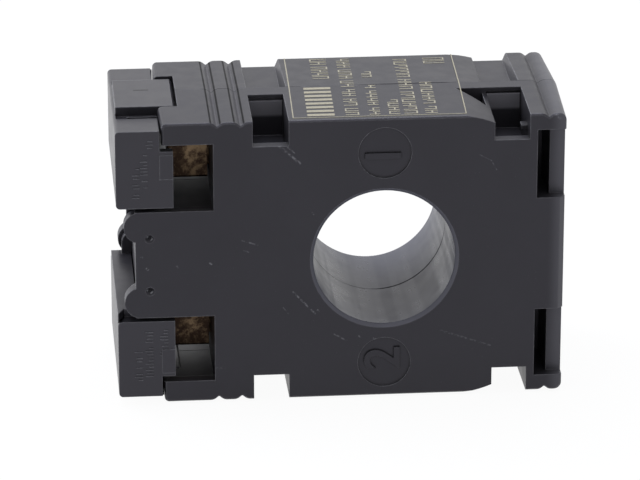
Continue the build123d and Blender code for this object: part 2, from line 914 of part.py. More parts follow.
# Pieces that are made twice: at both faces of the core, and at both terminals
repeated_pieces = {
    "core_cap_front": core_cap(1),
    "core_cap_rear": core_cap(-1),
    "packing_ring_front": packing_ring(1),
    "packing_ring_rear": packing_ring(-1),
}
for level, height in (("upper", terminal_offset), ("lower", -terminal_offset)):
    repeated_pieces[level + "_terminal_block"] = terminal_block(height)
    repeated_pieces[level + "_clamp_plate"] = clamp_plate(height)
    repeated_pieces[level + "_spring_ring"] = spring_ring(height)
    repeated_pieces[level + "_terminal_screw"] = terminal_screw(height)
    repeated_pieces[level + "_lead_sleeve"] = lead_sleeve(height)
for node_name, piece in repeated_pieces.items():
    piece.label = node_name
    export_step(piece, "parts/" + node_name + ".step")
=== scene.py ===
# %% [markdown]
# # Window current transformer
#
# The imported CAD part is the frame: every shell, cover, terminal and winding comes from it and
# keeps its place. This script gives each of them its material, adds the fine detail that
# moulding and printing leave on the case, and sets up the camera, the floor and the light.
#
# Lengths are written in millimetres, and `MM` turns them into metres where Blender takes them.
# Only the floor, the lamps and the camera are placed in metres. The origin is the centre of the
# cable bore, +X points to the foot end, +Y to the rear face and +Z to the printed narrow side.

# %% Imports and the frame
import math
import random

import bmesh
import bpy
from mathutils import Matrix, Vector


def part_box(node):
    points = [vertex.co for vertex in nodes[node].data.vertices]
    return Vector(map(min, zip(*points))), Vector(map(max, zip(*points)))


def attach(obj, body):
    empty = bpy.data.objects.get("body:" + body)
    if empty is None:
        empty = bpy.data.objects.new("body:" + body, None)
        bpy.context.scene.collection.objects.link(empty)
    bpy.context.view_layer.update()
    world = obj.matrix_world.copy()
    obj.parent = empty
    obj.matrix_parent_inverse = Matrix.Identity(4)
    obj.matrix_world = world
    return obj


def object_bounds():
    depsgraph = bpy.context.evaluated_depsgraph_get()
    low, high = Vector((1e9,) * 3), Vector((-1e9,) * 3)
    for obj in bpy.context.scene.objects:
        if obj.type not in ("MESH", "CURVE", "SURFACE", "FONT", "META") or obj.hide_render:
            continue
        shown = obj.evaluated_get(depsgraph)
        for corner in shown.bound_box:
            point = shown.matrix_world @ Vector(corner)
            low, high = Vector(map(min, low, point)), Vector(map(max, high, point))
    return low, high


MM = 0.001

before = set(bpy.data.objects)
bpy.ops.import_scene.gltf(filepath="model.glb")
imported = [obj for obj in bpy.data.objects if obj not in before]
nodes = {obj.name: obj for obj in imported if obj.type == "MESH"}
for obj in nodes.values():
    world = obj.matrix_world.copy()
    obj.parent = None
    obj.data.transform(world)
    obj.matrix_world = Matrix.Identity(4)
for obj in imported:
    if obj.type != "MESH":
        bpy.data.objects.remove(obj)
cad_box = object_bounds()
print("frame:", len(nodes), "nodes, box in metres:", [list(corner) for corner in cad_box])

# %% [markdown]
# ## Outline of the case
#
# The real case is two moulded half shells. Their narrow sides are drafted: they fall away from
# the parting plane at Y = 0 towards both faces, so that the shells come out of the mould. The
# print has to follow that slope. The height of the side and the place of the front face could be
# typed in as numbers, but they are read from the shell's box, so they stay right when the part
# changes. The slope is given as an angle.

# %% Height of the printed side
shell_low, shell_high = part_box("front_shell")
case_front_y = shell_low.y
case_top_z = shell_high.z
draft_angle = 1.5
draft = math.tan(math.radians(draft_angle))


def top_height(y):
    """Height of the printed narrow side at a depth."""
    return case_top_z - abs(y) * draft


print(f"printed side at {case_top_z / MM:.2f} mm, drafted by {draft_angle} degrees")

# %% [markdown]
# ## Building node trees
#
# A material is a tree of nodes. It could be wired by hand in the editor, or in long calls here.
# `add` makes one node, sets its properties and inputs, and links any socket that is passed in.
# The small functions on top of it let each finish below read like a sum.

# %% One node
def add(tree, kind, inputs=None, **settings):
    """Make a node. A value in inputs is linked if it is a socket, and set if it isn't."""
    made = tree.nodes.new(kind)
    for name, value in settings.items():
        setattr(made, name, value)
    for key, value in (inputs or {}).items():
        socket = made.inputs[key]
        if isinstance(value, bpy.types.NodeSocket):
            tree.links.new(value, socket)
        else:
            socket.default_value = value
    return made


# %% Numbers and vectors
def math_node(tree, operation, first, second=0.0, third=0.0, clamp=False):
    """A Math node's output."""
    made = add(
        tree,
        "ShaderNodeMath",
        {0: first, 1: second, 2: third},
        operation=operation,
        use_clamp=clamp,
    )
    return made.outputs[0]


def ramp(tree, factor, low, high, to_low=0.0, to_high=1.0):
    """Smooth step of a value between two limits."""
    made = add(
        tree,
        "ShaderNodeMapRange",
        {"Value": factor, "From Min": low, "From Max": high, "To Min": to_low, "To Max": to_high},
        interpolation_type="SMOOTHSTEP",
    )
    return made.outputs["Result"]


def vector_math(tree, operation, first, second=(0, 0, 0), third=(0, 0, 0)):
    """A Vector Math node's output: a number for lengths, distances and dot products."""
    made = add(
        tree, "ShaderNodeVectorMath", {0: first, 1: second, 2: third}, operation=operation
    )
    gives_number = operation in ("DOT_PRODUCT", "DISTANCE", "LENGTH")
    return made.outputs["Value" if gives_number else "Vector"]


def product(tree, *factors):
    """Product of several numbers."""
    result = factors[0]
    for factor in factors[1:]:
        result = math_node(tree, "MULTIPLY", result, factor)
    return result


# %% [markdown]
# ## Line marks
#
# Handling left light rubs and scratches on the plastic. The same masks paint glints in two
# dimples as painted highlight, and broad painted shade on the brass. They could be painted into a
# picture, but a picture has a fixed sharpness and needs an unwrapped surface. This group works
# out how far a point lies from the line between two places, so that a mark is a few numbers and
# stays sharp from close by.

# %% Node groups and noise
def new_group(name, inputs, outputs):
    """An empty node group with named sockets, and the sockets that its inputs come in by."""
    group = bpy.data.node_groups.new(name, "ShaderNodeTree")
    for direction, sockets in (("INPUT", inputs), ("OUTPUT", outputs)):
        for socket, kind in sockets.items():
            group.interface.new_socket(
                socket, in_out=direction, socket_type="NodeSocket" + kind
            )
    return group, add(group, "NodeGroupInput").outputs


def use_group(tree, group, inputs):
    """Place a node group in a material. Returns its outputs."""
    return add(tree, "ShaderNodeGroup", inputs, node_tree=group).outputs


def noise(tree, vector, scale, detail=2.0, roughness=0.5):
    """Noise value at so many cycles a millimetre."""
    made = add(
        tree,
        "ShaderNodeTexNoise",
        {"Vector": vector, "Scale": scale, "Detail": detail, "Roughness": roughness},
    )
    return made.outputs["Fac"]


# %% The line mask group
def make_line_mask_group():
    """Node group: 1 along the line from Start to End, 0 beyond Width from it."""
    group, source = new_group(
        "line mask",
        {
            "Position": "Vector",
            "Start": "Vector",
            "End": "Vector",
            "Width": "Float",
            "Breaks": "Float",
        },
        {"Mask": "Float"},
    )
    along = vector_math(group, "SUBTRACT", source["End"], source["Start"])
    offset = vector_math(group, "SUBTRACT", source["Position"], source["Start"])
    share = math_node(
        group,
        "DIVIDE",
        vector_math(group, "DOT_PRODUCT", offset, along),
        vector_math(group, "DOT_PRODUCT", along, along),
        clamp=True,
    )
    nearest = vector_math(group, "MULTIPLY_ADD", along, share, source["Start"])
    gap = vector_math(group, "DISTANCE", source["Position"], nearest)
    reach = math_node(group, "DIVIDE", gap, source["Width"])
    core = ramp(group, reach, 1.0, 0.15)
    broken = ramp(group, source["Breaks"], 0.42, 0.62)
    mask = math_node(group, "MULTIPLY", core, broken)
    add(group, "NodeGroupOutput", {"Mask": mask})
    return group


line_mask_group = make_line_mask_group()
print("group:", line_mask_group.name)


# %% Marks along a list of lines
def total(tree, numbers):
    """Sum of several numbers."""
    result = numbers[0]
    for number in numbers[1:]:
        result = math_node(tree, "ADD", result, number)
    return result


def line_marks(tree, place, lines):
    """Sum of line masks along lines given as (start, end, half width, strength)."""
    breaks = noise(tree, place, 2.2, 3.0, 0.65)
    marks = []
    for start, end, width, strength in lines:
        mark = {"Position": place, "Breaks": breaks, "Start": start, "End": end, "Width": width}
        marks.append(product(tree, use_group(tree, line_mask_group, mark)["Mask"], strength))
    return total(tree, marks)


# %% [markdown]
# ## Rounded and lightened edges, painted shade in corners, dust and grain
#
# Every moulded or cut edge of the real part has a small radius and is rubbed pale, and dust lies
# on a fine grain. The edges are lightened partly for that wear and partly as painted highlight,
# and the inside corners are darkened as painted shade. Edges could be rounded in the mesh and the
# wear painted on. The Bevel and Ambient Occlusion nodes find edges and corners by themselves, on
# the solids as they are. Each effect is one group that every material uses with its own values.

# %% Rounded and lightened edges
def make_edge_group():
    """Node group: a normal rounded over Radius, and a mask that is 1 where it turns away."""
    group, source = new_group(
        "rounded edges", {"Radius": "Float"}, {"Normal": "Vector", "Mask": "Float"}
    )
    rounded = add(group, "ShaderNodeBevel", {"Radius": source["Radius"]}, samples=6).outputs[0]
    true = add(group, "ShaderNodeNewGeometry").outputs["Normal"]
    mask = ramp(group, vector_math(group, "DOT_PRODUCT", rounded, true), 0.995, 0.8)
    add(group, "NodeGroupOutput", {"Normal": rounded, "Mask": mask})
    return group


edge_group = make_edge_group()
print("group:", edge_group.name)


# %% Painted shade in corners
def make_corner_group():
    """Node group for painted shade: 1 in inside corners up to Distance wide, 0 on flats and on
    outside edges.
    """
    group, source = new_group("corner dirt", {"Distance": "Float"}, {"Mask": "Float"})
    light = add(
        group, "ShaderNodeAmbientOcclusion", {"Distance": source["Distance"]}, samples=8
    )
    add(group, "NodeGroupOutput", {"Mask": ramp(group, light.outputs["AO"], 0.85, 0.45)})
    return group


corner_group = make_corner_group()
print("group:", corner_group.name)


# %% Dust and grain
def make_dust_group():
    """Node group: 1 on small scattered specks of dust."""
    group, source = new_group("dust specks", {"Position": "Vector"}, {"Mask": "Float"})
    specks = ramp(group, noise(group, source["Position"], 5.5, 1.0), 0.76, 0.82)
    add(group, "NodeGroupOutput", {"Mask": specks})
    return group


def make_grain_group():
    """Node group: height of the mould's grain, at Scale cycles a millimetre."""
    group, source = new_group(
        "moulded grain", {"Position": "Vector", "Scale": "Float"}, {"Height": "Float"}
    )
    grain = noise(group, source["Position"], source["Scale"], 2.0, 0.6)
    add(group, "NodeGroupOutput", {"Height": product(group, grain, 0.6)})
    return group


dust_group = make_dust_group()
grain_group = make_grain_group()
print("groups:", dust_group.name, "and", grain_group.name)

# %% [markdown]
# ## Marks, tones, painted light and painted shade of the case
#
# The front face of the real case has rubs, scratches and grains of dust, and two dimples with
# painted glints. The bore and the rail are paler. Painted light brightens the mouth of the bore,
# the rear walls of the foot pockets and the bottoms of the grip grooves, painted shade darkens
# the upper compartment and the sides of the grip grooves, and a dark seam runs between the
# shells.
# The solids could be cut up to give each place its own material. Masks worked out from the
# position do the same and touch no shape.

# %% Rubs and scratches
front_mm = case_front_y / MM
# Each is (start, end, half width, strength)
case_scuffs_and_glints = [
    ((-15.7, front_mm, 18.2), (-12.5, front_mm, 15.3), 0.28, 0.5),
    ((-15.0, front_mm, 18.4), (-13.2, front_mm, 16.9), 0.14, 0.6),
    ((-21.0, front_mm, 3.5), (-18.7, front_mm, 2.7), 0.18, 0.4),
    ((-20.7, front_mm, 1.9), (-19.7, front_mm, 1.5), 0.14, 0.4),
    ((-13.5, front_mm, -4.9), (-10.3, front_mm, -8.4), 0.2, 0.5),
    ((-15.0, front_mm, -7.3), (-14.1, front_mm, -8.5), 0.14, 0.4),
    ((-7.4, front_mm, -11.8), (-5.6, front_mm, -12.9), 0.18, 0.4),
    ((8.3, front_mm, -11.7), (15.8, front_mm, -14.4), 0.2, 0.3),
    ((13.9, front_mm, 15.8), (15.6, front_mm, 14.9), 0.1, 0.35),
    ((15.6, front_mm, 14.9), (16.4, front_mm, 13.4), 0.1, 0.35),
    ((-25.0, front_mm, -16.6), (-23.7, front_mm, -16.7), 0.2, 0.3),
    ((24.9, front_mm, 21.9), (25.9, front_mm, 20.9), 0.35, 0.9),
]
print(len(case_scuffs_and_glints), "rubs and scratches on the front face")

# %% Grains of dust and painted glints
# Grains of dust on the front face, as places along X and Z
dust_places = [
    (-35.8, 1.4),
    (-35.0, -0.5),
    (-30.6, -0.2),
    (-25.7, 0.1),
    (-10.6, 7.5),
    (-9.9, -7.9),
    (-3.7, -12.2),
    (-1.5, -12.6),
]
dust_size = 0.16
case_scuffs_and_glints += [
    ((x, front_mm, z), (x + dust_size, front_mm, z - dust_size), 1.4 * dust_size, 0.8)
    for x, z in dust_places
]
# Painted glints in the two moulding dimples beside the hinge sockets, as places about a dimple's
# centre
dimple_centres = [(-34.56, 4.2), (-34.6, -4.14)]
dimple_glints = [((-0.34, 0.22), (-0.2, -0.02), 0.26), ((0.16, -0.3), (0.4, -0.1), 0.22)]
glint_y = front_mm + 0.3
for x, z in dimple_centres:
    case_scuffs_and_glints += [
        ((x + start[0], glint_y, z + start[1]), (x + end[0], glint_y, z + end[1]), width, 1.0)
        for start, end, width in dimple_glints
    ]
print(len(case_scuffs_and_glints), "marks with the dust and the glints")

# %% Places and colours of the zones
bore_r_mm = 10.5
# Foot pockets, as the middle and half the width of each along X
pocket_places = [(-16.73, 2.55), (18.68, 2.5)]
# Middles of the two grip grooves, and how far the painted shade along their sides lies from them
groove_places = [-24.76, -21.31]
groove_half = 0.7

# Colours of the case by place, tones and painted light and shade, laid over one another in this
# order
case_zone_colours = {
    "compartment": (0.009, 0.009, 0.011),
    "mouth": (0.075, 0.075, 0.088),
    "bore": (0.064, 0.066, 0.08),
    "rail": (0.06, 0.059, 0.065),
    "pocket": (0.15, 0.147, 0.16),
    "groove bottom": (0.03, 0.029, 0.034),
    "groove dirt": (0.003, 0.003, 0.004),
    "seam": (0.003, 0.003, 0.003),
}
print("skins:", ", ".join(case_zone_colours))


# %% Masks for the skins
def distance_from(tree, value, middle):
    """How far a number lies from a middle, to either side."""
    return math_node(tree, "ABSOLUTE", math_node(tree, "SUBTRACT", value, middle))


def bore_radius(tree, place):
    """Distance from the axis of the bore."""
    return vector_math(tree, "LENGTH", vector_math(tree, "MULTIPLY", place, (1, 0, 1)))


def case_zones(tree, place):
    """Masks for the places on the case that take their own tones, painted light and painted
    shade.
    """
    x, y, z = add(tree, "ShaderNodeSeparateXYZ", {0: place}).outputs
    radius = bore_radius(tree, place)
    deep = math_node(tree, "ABSOLUTE", y)
    high = math_node(tree, "ABSOLUTE", z)
    zones = {
        "bore": ramp(tree, radius, bore_r_mm + 0.1, bore_r_mm + 0.03),
        # Painted light: a paler band on the chamfer round the bore's mouth
        "mouth": ramp(tree, radius, bore_r_mm + 0.55, bore_r_mm + 0.45),
        "rail": ramp(tree, x, 24.0, 26.4),
    }
    # Painted shade inside the upper compartment
    zones["compartment"] = product(
        tree,
        ramp(tree, x, -23.5, -24.0),
        ramp(tree, z, 4.2, 4.6),
        ramp(tree, z, 18.4, 18.0),
        ramp(tree, deep, 13.4, 12.8),
    )
    # Painted light on the rear walls of the foot pockets
    along = [
        ramp(tree, distance_from(tree, x, middle), half, half - 0.1)
        for middle, half in pocket_places
    ]
    zones["pocket"] = product(
        tree,
        ramp(tree, high, 18.5, 19.1),
        ramp(tree, high, 21.7, 21.5),
        ramp(tree, y, -3.35, -3.2),
        ramp(tree, y, -2.2, -2.35),
        total(tree, along),
    )
    # Grip grooves on the narrow sides: painted shade along both sides, and painted light on a
    # bottom between them
    narrow = product(tree, ramp(tree, high, 20.2, 20.6), ramp(tree, deep, 13.95, 13.7))
    offs = [distance_from(tree, x, middle) for middle in groove_places]
    bottoms = [ramp(tree, off, 0.5, 0.25) for off in offs]
    sides = [ramp(tree, distance_from(tree, off, groove_half), 0.2, 0.07) for off in offs]
    zones["groove bottom"] = product(tree, narrow, total(tree, bottoms))
    zones["groove dirt"] = product(tree, narrow, total(tree, sides))
    # The seam between the shells is faint in places, and gapes a little under the print
    broken = ramp(tree, noise(tree, place, 0.25, 2.0), 0.38, 0.55, 0.35, 1.0)
    gape = product(tree, ramp(tree, x, -3.0, 2.0), ramp(tree, x, 11.5, 9.5))
    wide = math_node(tree, "MULTIPLY_ADD", gape, 0.13, 0.09)
    seam = ramp(tree, math_node(tree, "DIVIDE", deep, wide), 1.2, 0.5)
    zones["seam"] = product(tree, seam, math_node(tree, "MAXIMUM", broken, gape))
    return zones


# %% The zone colours laid over the plastic
def mix_colour(tree, factor, first, second):
    """A colour Mix node's output."""
    made = add(tree, "ShaderNodeMix", data_type="RGBA")
    for key, value in ((0, factor), (6, first), (7, second)):
        if isinstance(value, bpy.types.NodeSocket):
            tree.links.new(value, made.inputs[key])
        else:
            made.inputs[key].default_value = value
    return made.outputs[2]


def case_finish(tree, place, colour, roughness, height):
    """The plastic's colour, roughness and height with the case's tones, painted light and painted
    shade laid over them.
    """
    zones = case_zones(tree, place)
    for zone, zone_colour in case_zone_colours.items():
        colour = mix_colour(tree, zones[zone], colour, (*zone_colour, 1))
    roughness = math_node(tree, "MULTIPLY_ADD", zones["compartment"], 0.15, roughness)
    # The bore has no grain, and long faint streaks run through it
    stretched = vector_math(tree, "MULTIPLY", place, (0.45, 0.02, 0.45))
    streaks = ramp(tree, noise(tree, stretched, 1.0, 2.0), 0.4, 0.6, -0.1, -0.01)
    roughness = math_node(tree, "MULTIPLY_ADD", zones["bore"], streaks, roughness)
    height = product(tree, height, math_node(tree, "SUBTRACT", 1.0, zones["bore"]))
    roughness = math_node(tree, "MULTIPLY_ADD", zones["seam"], 0.5, roughness, clamp=True)
    height = math_node(tree, "MULTIPLY_ADD", zones["seam"], -6.0, height)
    return colour, roughness, height, zones["groove dirt"]


# %% [markdown]
# ## Moulded black plastic
#
# The case, its covers and its numerals are black polycarbonate, a little glossy, with a faint
# drift in colour. One colour and one roughness would look like a toy. So colour, roughness and
# height all change over the surface, and the marks of use are laid over them as masks, with
# painted highlights on the edges and painted shade in the inside corners.

# %% Parts of every material
def new_material(name):
    """An empty material with a Principled shader and its output."""
    material = bpy.data.materials.new(name)
    material.use_nodes = True
    tree = material.node_tree
    tree.nodes.clear()
    shader = add(tree, "ShaderNodeBsdfPrincipled")
    add(tree, "ShaderNodeOutputMaterial", {"Surface": shader.outputs[0]})
    return material, tree, shader


def place_mm(tree):
    """Position on the object in millimetres."""
    coordinates = add(tree, "ShaderNodeTexCoord")
    return vector_math(tree, "MULTIPLY", coordinates.outputs["Object"], (1 / MM,) * 3)


def finish_surface(tree, shader, colour, roughness, normal):
    """Link a shader to its colour, its roughness and its normal."""
    for key, value in (("Base Color", colour), ("Roughness", roughness), ("Normal", normal)):
        tree.links.new(value, shader.inputs[key])


# %% The plastic
def moulded_plastic(name, base, grain, rough, lines=(), case=False, edge_light_and_wear=0.75, gloss=0.38):
    """Black moulded plastic with grain, dust, edges lightened partly for wear and partly as
    painted highlight, painted shade in inside corners, and any line marks.
    """
    material, tree, shader = new_material(name)
    place = place_mm(tree)
    colour = mix_colour(
        tree,
        noise(tree, place, 0.12, 3.0),
        (base * 0.85, base * 0.82, base * 0.95, 1),
        (base * 1.15, base * 1.11, base * 1.3, 1),
    )
    specks = use_group(tree, dust_group, {"Position": place})["Mask"]
    colour = mix_colour(tree, product(tree, specks, 0.3), colour, (0.14, 0.14, 0.145, 1))
    edge = use_group(tree, edge_group, {"Radius": 0.24 * MM})
    corner = use_group(tree, corner_group, {"Distance": 0.5 * MM})["Mask"]
    # Edges are lightened partly for wear and partly as painted highlight, patchily and not in
    # corners
    patchy = ramp(tree, noise(tree, place, 1.1, 4.0, 0.7), 0.35, 0.7, 0.35, 1.0)
    unshaded = math_node(tree, "SUBTRACT", 1.0, corner)
    worn_and_highlit = product(tree, edge["Mask"], patchy, unshaded, edge_light_and_wear)
    colour = mix_colour(tree, worn_and_highlit, colour, (0.24, 0.24, 0.25, 1))
    # Painted shade: the inside corners are darkened
    colour = mix_colour(tree, corner, colour, (0.002, 0.002, 0.002, 1))
    roughness = ramp(tree, noise(tree, place, 0.4, 2.0), 0.3, 0.7, rough, rough + 0.06)
    height = use_group(tree, grain_group, {"Position": place, "Scale": grain})["Height"]
    if lines:
        marks = line_marks(tree, place, lines)
        # Light line marks: scuffs and dust, and on the case also painted glints in the two
        # dimples
        colour = mix_colour(tree, marks, colour, (0.22, 0.22, 0.23, 1))
        roughness = math_node(tree, "MULTIPLY_ADD", marks, 0.2, roughness)
    if case:
        colour, roughness, height, painted_shade = case_finish(tree, place, colour, roughness, height)
        shine = math_node(tree, "MULTIPLY_ADD", painted_shade, -0.9 * gloss, gloss)
        tree.links.new(shine, shader.inputs["Specular IOR Level"])
    bump = add(
        tree,
        "ShaderNodeBump",
        {
            "Height": height,
            "Normal": edge["Normal"],
            "Strength": 0.25,
            "Distance": 0.012 * MM,
        },
    )
    finish_surface(tree, shader, colour, roughness, bump.outputs[0])
    shader.inputs["IOR"].default_value = 1.5
    shader.inputs["Specular IOR Level"].default_value = gloss
    shader.inputs["Specular Tint"].default_value = (0.9, 0.88, 1.0, 1)
    return material


case_plastic = moulded_plastic("case plastic", 0.016, 3.2, 0.36, case_scuffs_and_glints, case=True)
cover_plastic = moulded_plastic("cover plastic", 0.018, 3.8, 0.29, gloss=0.46)
print("materials:", case_plastic.name, "and", cover_plastic.name)

# %% [markdown]
# ## Brass and steel
#
# The terminal blocks are cut brass, tarnished brown, with broad painted shade where they show
# through the windows. The screws, the clamp plates and the rings are zinc-plated steel, in a
# darker grey as painted shade. A picture of worn metal would have to be unwrapped, and would
# repeat. Noise drawn out along Y gives the cutter's marks and broad noise the tarnish, from a few
# numbers for each metal.

# %% Cut metal
def metal(name, colour, dark, rough, tarnish=0.4, shade_lines=()):
    """Metal with fine streaks along Y, patches of tarnish and any broad painted shade along
    lines.
    """
    material, tree, shader = new_material(name)
    place = place_mm(tree)
    streaks = noise(tree, vector_math(tree, "MULTIPLY", place, (14.0, 0.56, 14.0)), 1.0, 2.0)
    patches = ramp(tree, noise(tree, place, 0.45, 5.0, 0.7), 0.62, 0.42)
    grains = ramp(tree, noise(tree, place, 4.5, 2.0), 0.62, 0.7)
    edge = use_group(tree, edge_group, {"Radius": 0.15 * MM})
    base = mix_colour(tree, product(tree, patches, tarnish), (*colour, 1), (*dark, 1))
    base = mix_colour(tree, product(tree, grains, tarnish), base, (*colour, 1))
    if shade_lines:
        # Painted shade: broad dark bands along the given lines
        base = mix_colour(tree, line_marks(tree, place, shade_lines), base, (*dark, 1))
    bright = tuple(1.5 * share for share in colour)
    base = mix_colour(tree, product(tree, edge["Mask"], 0.3), base, (*bright, 1))
    roughness = ramp(tree, patches, 0.0, 1.0, rough, rough + 0.18)
    bump = add(
        tree,
        "ShaderNodeBump",
        {
            "Height": streaks,
            "Normal": edge["Normal"],
            "Strength": 0.3,
            "Distance": 0.01 * MM,
        },
    )
    finish_surface(tree, shader, base, roughness, bump.outputs[0])
    shader.inputs["Metallic"].default_value = 1.0
    return material


# %% Tarnished brass and plated steel
# Broad painted shade on the front faces of the brass blocks, as (start, end, half width,
# strength)
block_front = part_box("upper_terminal_block")[0].y / MM
brass_shade_lines = [
    ((-31.6, block_front, 15.8), (-30.6, block_front, 12.0), 2.2, 1.0),
    ((-31.5, block_front, -14.6), (-25.0, block_front, -14.6), 2.3, 1.0),
]
terminal_brass = metal(
    "terminal brass",
    (0.2, 0.14, 0.085),
    (0.06, 0.037, 0.028),
    0.4,
    tarnish=0.95,
    shade_lines=brass_shade_lines,
)
# The steel's grey is darker than bright zinc plating: painted shade, for the plates and screws
# that sit in the compartments
zinc_steel = metal("zinc steel", (0.34, 0.35, 0.36), (0.2, 0.2, 0.19), 0.28)
print("materials:", terminal_brass.name, "and", zinc_steel.name)

# %% [markdown]
# ## Wound steel core
#
# The ring core is a long strip of thin steel, wound like a roll of tape. It could be modelled
# turn by turn, but it is sealed in the case. A sine wave of the distance from the axis draws the
# edges of the strip on a plain ring.

# %% Edges of the wound strip
strip_pitch = 0.23


def wound_strip():
    """Core of thin steel strip: rings of strip edges on both faces."""
    material, tree, shader = new_material("wound strip steel")
    place = place_mm(tree)
    radius = bore_radius(tree, place)
    wobble = math_node(tree, "MULTIPLY_ADD", noise(tree, place, 0.4), 0.08, radius)
    layers = math_node(tree, "SINE", product(tree, wobble, 2 * math.pi / strip_pitch))
    lines = ramp(tree, layers, -1.0, 0.2)
    colour = mix_colour(tree, lines, (0.12, 0.12, 0.13, 1), (0.42, 0.43, 0.45, 1))
    bump = add(
        tree, "ShaderNodeBump", {"Height": lines, "Strength": 0.5, "Distance": 0.03 * MM}
    )
    tree.links.new(colour, shader.inputs["Base Color"])
    tree.links.new(bump.outputs[0], shader.inputs["Normal"])
    shader.inputs["Metallic"].default_value = 0.9
    shader.inputs["Roughness"].default_value = 0.4
    return material


core_steel = wound_strip()
print("material:", core_steel.name)

# %% [markdown]
# ## Enamelled wire
#
# Winding wire is copper under a clear, tinted enamel. A second skin of glass round the wire would
# be nearer to the real build, and slow to render. A warm metal under a clear coat looks the same
# at this size.

# %% Copper under enamel
def enamelled_wire():
    """Enamelled copper, glossy over a warm metal."""
    material, tree, shader = new_material("enamelled wire")
    place = place_mm(tree)
    shade = noise(tree, place, 0.8, 3.0)
    colour = mix_colour(tree, shade, (0.42, 0.14, 0.05, 1), (0.62, 0.25, 0.1, 1))
    tree.links.new(colour, shader.inputs["Base Color"])
    roughness = ramp(tree, shade, 0.3, 0.7, 0.22, 0.34)
    tree.links.new(roughness, shader.inputs["Roughness"])
    shader.inputs["Metallic"].default_value = 0.75
    shader.inputs["Coat Weight"].default_value = 0.6
    return material


winding_wire = enamelled_wire()
print("material:", winding_wire.name)

# %% [markdown]
# ## Nylon caps, braided sleeves and foam rings
#
# The core's caps are natural nylon, the leads have sleeves of glass braid, and foam rings hold
# the winding in place. All of them are matt with an open texture. Threads and cells could be
# modelled, but nothing shows them from outside. One pattern of cells at three scales stands in
# for them.

# %% The open texture
def make_open_group():
    """Node group: 0 in the middle of each cell and 1 at its rim, Scale cells a millimetre."""
    group, source = new_group(
        "open texture", {"Position": "Vector", "Scale": "Float"}, {"Mask": "Float"}
    )
    cells = add(
        group,
        "ShaderNodeTexVoronoi",
        {"Vector": source["Position"], "Scale": source["Scale"]},
    )
    add(group, "NodeGroupOutput", {"Mask": ramp(group, cells.outputs["Distance"], 0.1, 0.6)})
    return group


open_group = make_open_group()
print("group:", open_group.name)


# %% Nylon, braid and foam
def soft_matt(name, pale, dark, scale, relief):
    """Matt stuff with an open texture: braid, foam or natural nylon."""
    material, tree, shader = new_material(name)
    place = place_mm(tree)
    field = use_group(tree, open_group, {"Position": place, "Scale": scale})["Mask"]
    colour = mix_colour(tree, field, (*pale, 1), (*dark, 1))
    bump = add(
        tree,
        "ShaderNodeBump",
        {"Height": field, "Strength": 0.5, "Distance": relief * MM},
    )
    roughness = ramp(tree, field, 0.0, 1.0, 0.6, 0.8)
    finish_surface(tree, shader, colour, roughness, bump.outputs[0])
    return material


nylon = soft_matt("natural nylon", (0.72, 0.7, 0.62), (0.66, 0.64, 0.56), 0.7, 0.02)
braid = soft_matt("glass braid", (0.75, 0.72, 0.62), (0.5, 0.46, 0.36), 3.0, 0.08)
foam = soft_matt("packing foam", (0.05, 0.05, 0.052), (0.02, 0.02, 0.02), 2.4, 0.1)
print("materials:", ", ".join(made.name for made in (nylon, braid, foam)))

# %% [markdown]
# ## A material for every solid
#
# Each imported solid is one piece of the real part, made of one stuff, so it takes one material.
# They could be dressed one at a time. A table from name to material shows at a glance that none
# is left out.

# %% Table of materials
node_materials = {
    "front_shell": case_plastic,
    "rear_shell": case_plastic,
    "upper_terminal_cover": cover_plastic,
    "lower_terminal_cover": cover_plastic,
    "toroidal_core": core_steel,
    "secondary_winding": winding_wire,
}
for level in ("upper", "lower"):
    node_materials[level + "_terminal_block"] = terminal_brass
    node_materials[level + "_clamp_plate"] = zinc_steel
    node_materials[level + "_spring_ring"] = zinc_steel
    node_materials[level + "_terminal_screw"] = zinc_steel
    node_materials[level + "_lead_sleeve"] = braid
for side in ("front", "rear"):
    node_materials["core_cap_" + side] = nylon
    node_materials["packing_ring_" + side] = foam

for name, material in node_materials.items():
    nodes[name].data.materials.clear()
    nodes[name].data.materials.append(material)
print("materials on", len(node_materials), "of", len(nodes), "solids")

# %% [markdown]
# ## Printed data field
#
# The narrow side carries a field in pale gold: a thin frame, columns of plain boxy signs and a
# ladder of bars. It could be a picture laid over the case, but a picture blurs from close by.
# Here each stroke is a thin strip of mesh, which follows the drafted side and bends at the
# parting plane as the case does.

# %% Ink with worn gaps
def make_worn_group():
    """Node group: 1 where the ink has worn away in small gaps."""
    group, source = new_group("worn print", {"Position": "Vector"}, {"Mask": "Float"})
    worn = ramp(group, noise(group, source["Position"], 3.0, 4.0, 0.7), 0.5, 0.75)
    add(group, "NodeGroupOutput", {"Mask": worn})
    return group


worn_group = make_worn_group()


def printed_ink(name, pale, dark):
    """Flat ink with small worn gaps."""
    material, tree, shader = new_material(name)
    place = place_mm(tree)
    worn = use_group(tree, worn_group, {"Position": place})["Mask"]
    colour = mix_colour(tree, worn, (*pale, 1), (*dark, 1))
    tree.links.new(colour, shader.inputs["Base Color"])
    roughness = ramp(tree, worn, 0.0, 1.0, 0.45, 0.6)
    tree.links.new(roughness, shader.inputs["Roughness"])
    return material


ink = printed_ink("pale gold ink", (0.25, 0.228, 0.16), (0.12, 0.11, 0.085))
print("group:", worn_group.name, "and material:", ink.name)


# %% Meshes and pieces
def link_piece(name, mesh, body):
    """Put a mesh into the scene as a piece that rides on a body."""
    piece = bpy.data.objects.new(name, mesh)
    bpy.context.scene.collection.objects.link(piece)
    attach(piece, body)
    print(name, "rides on", body, "with", len(mesh.vertices), "points")


